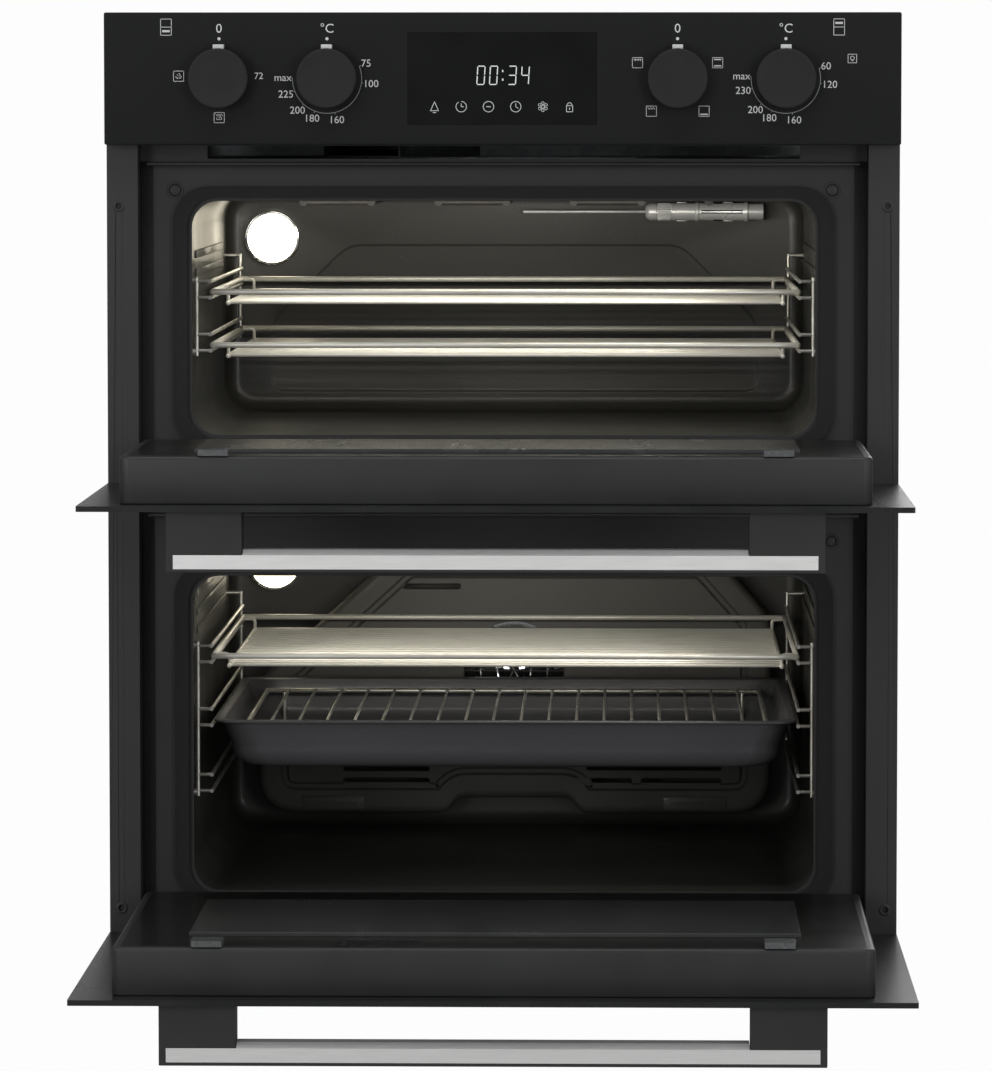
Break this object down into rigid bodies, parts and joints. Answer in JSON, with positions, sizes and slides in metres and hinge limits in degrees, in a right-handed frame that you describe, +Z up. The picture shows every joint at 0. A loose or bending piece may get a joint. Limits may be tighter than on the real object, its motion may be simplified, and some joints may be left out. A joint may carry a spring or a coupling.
{
  "type": "built-in double wall oven",
  "caption": "Built-in double oven with a grill cavity above a fan cavity, drop-down glass doors with bar handles, wire shelves, roasting pan, control fascia with knobs and display.",
  "frame": {"origin": "underside, at the middle of its front edge, in the plane of the cabinet front", "axes": "+X to the right seen from the front, +Y into the cabinet, +Z up"},
  "size_m": [0.594, 0.8865, 0.7405],
  "materials": {
    "zinc_steel": "zinc-plated, dull",
    "dark_painted_steel": "satin paint",
    "fascia_coating": "satin dark coating",
    "display_glass": "gloss",
    "circuit_board": "matt",
    "light_plastic": "satin",
    "dark_plastic": "satin",
    "grey_enamel": "glossy speckled enamel",
    "seal_rubber": "matt",
    "mineral_wool": "matt",
    "lamp_glass": "ribbed clear",
    "ceramic": "matt",
    "element_steel": "heat-tinted",
    "polished_steel": "polished",
    "chrome_wire": "chrome plated",
    "pan_enamel": "glossy enamel",
    "motor_steel": "zinc-plated",
    "black_glass": "gloss",
    "inner_glass": "tinted, gloss",
    "brushed_aluminium": "fine brushed"
  },
  "bodies": {
    "oven": {"base_panel": "dark_painted_steel", "left_side_panel": "zinc_steel", "right_side_panel": "zinc_steel", "top_panel": "zinc_steel", "rear_panel": "zinc_steel", "air_deck": "zinc_steel", "left_column": "dark_painted_steel", "right_column": "dark_painted_steel", "front_frame": "dark_painted_steel", "air_guides": "dark_painted_steel", "frame_plugs": "seal_rubber", "control_fascia": "fascia_coating", "display_window": "display_glass", "display_module": "circuit_board", "rotary_switches": "light_plastic", "upper_muffle": "grey_enamel", "lower_muffle": "grey_enamel", "upper_door_seal": "seal_rubber", "lower_door_seal": "seal_rubber", "glass_wool": "mineral_wool", "lamp_lenses": "lamp_glass", "lamp_holders": "ceramic", "grill_element": "element_steel", "base_elements": "element_steel", "ring_element": "element_steel", "temperature_probe": "polished_steel", "fan_cover": "grey_enamel", "fan_motor": "motor_steel", "upper_left_rack": "chrome_wire", "upper_right_rack": "chrome_wire", "lower_left_rack": "chrome_wire", "lower_right_rack": "chrome_wire", "blower_housing": "zinc_steel", "terminal_block": "light_plastic", "cable_gland": "dark_plastic", "hinge_arms": "motor_steel", "hinge_receivers": "motor_steel"},
    "upper_door": {"upper_door_glass": "black_glass", "upper_door_box": "dark_painted_steel", "upper_inner_glass": "inner_glass", "upper_glass_clips": "motor_steel", "upper_handle_housing": "dark_plastic", "upper_handle_bar": "brushed_aluminium"},
    "lower_door": {"lower_door_glass": "black_glass", "lower_door_box": "dark_painted_steel", "lower_inner_glass": "inner_glass", "lower_glass_clips": "motor_steel", "lower_handle_housing": "dark_plastic", "lower_handle_bar": "brushed_aluminium"},
    "upper_shelf": {"upper_shelf": "chrome_wire"},
    "middle_shelf": {"middle_shelf": "chrome_wire"},
    "lower_shelf": {"lower_shelf": "chrome_wire"},
    "roasting_pan": {"roasting_pan": "pan_enamel"},
    "pan_trivet": {"pan_trivet": "chrome_wire"},
    "left_function_knob": {"left_function_knob": "dark_plastic"},
    "left_temperature_knob": {"left_temperature_knob": "dark_plastic"},
    "right_function_knob": {"right_function_knob": "dark_plastic"},
    "right_temperature_knob": {"right_temperature_knob": "dark_plastic"},
    "convection_fan": {"convection_fan": "polished_steel"},
    "blower_impeller": {"blower_impeller": "motor_steel"}
  },
  "joints": [
    {"name": "upper_door_hinge", "type": "hinge", "parent": "oven", "child": "upper_door", "pos_m": [0, -0.012, 0.3685], "axis": [-1, 0, 0], "range_deg": [0, 90]},
    {"name": "lower_door_hinge", "type": "hinge", "parent": "oven", "child": "lower_door", "pos_m": [0, -0.012, 0.0285], "axis": [-1, 0, 0], "range_deg": [0, 90]},
    {"name": "upper_shelf_slide", "type": "slide", "parent": "oven", "child": "upper_shelf", "axis": [0, 1, 0], "range_m": [-0.3, 0]},
    {"name": "middle_shelf_slide", "type": "slide", "parent": "oven", "child": "middle_shelf", "axis": [0, 1, 0], "range_m": [-0.3, 0]},
    {"name": "lower_shelf_slide", "type": "slide", "parent": "oven", "child": "lower_shelf", "axis": [0, 1, 0], "range_m": [-0.3, 0]},
    {"name": "pan_slide", "type": "slide", "parent": "oven", "child": "roasting_pan", "axis": [0, 1, 0], "range_m": [-0.3, 0]},
    {"name": "trivet_lift", "type": "slide", "parent": "roasting_pan", "child": "pan_trivet", "axis": [0, 0, 1], "range_m": [0, 0.03]},
    {"name": "left_function_turn", "type": "hinge", "parent": "oven", "child": "left_function_knob", "pos_m": [-0.211, -0.02, 0.66775], "axis": [0, 1, 0], "range_deg": [0, 270]},
    {"name": "left_temperature_turn", "type": "hinge", "parent": "oven", "child": "left_temperature_knob", "pos_m": [-0.1305, -0.02, 0.66775], "axis": [0, 1, 0], "range_deg": [0, 270]},
    {"name": "right_function_turn", "type": "hinge", "parent": "oven", "child": "right_function_knob", "pos_m": [0.1305, -0.02, 0.66775], "axis": [0, 1, 0], "range_deg": [0, 300]},
    {"name": "right_temperature_turn", "type": "hinge", "parent": "oven", "child": "right_temperature_knob", "pos_m": [0.211, -0.02, 0.66775], "axis": [0, 1, 0], "range_deg": [0, 270]},
    {"name": "convection_fan_spin", "type": "hinge", "parent": "oven", "child": "convection_fan", "pos_m": [0, 0.45, 0.18075], "axis": [0, 1, 0], "continuous": true},
    {"name": "cooling_blower_spin", "type": "hinge", "parent": "oven", "child": "blower_impeller", "pos_m": [-0.09, 0.438, 0.64], "axis": [0, 0, 1], "continuous": true}
  ]
}
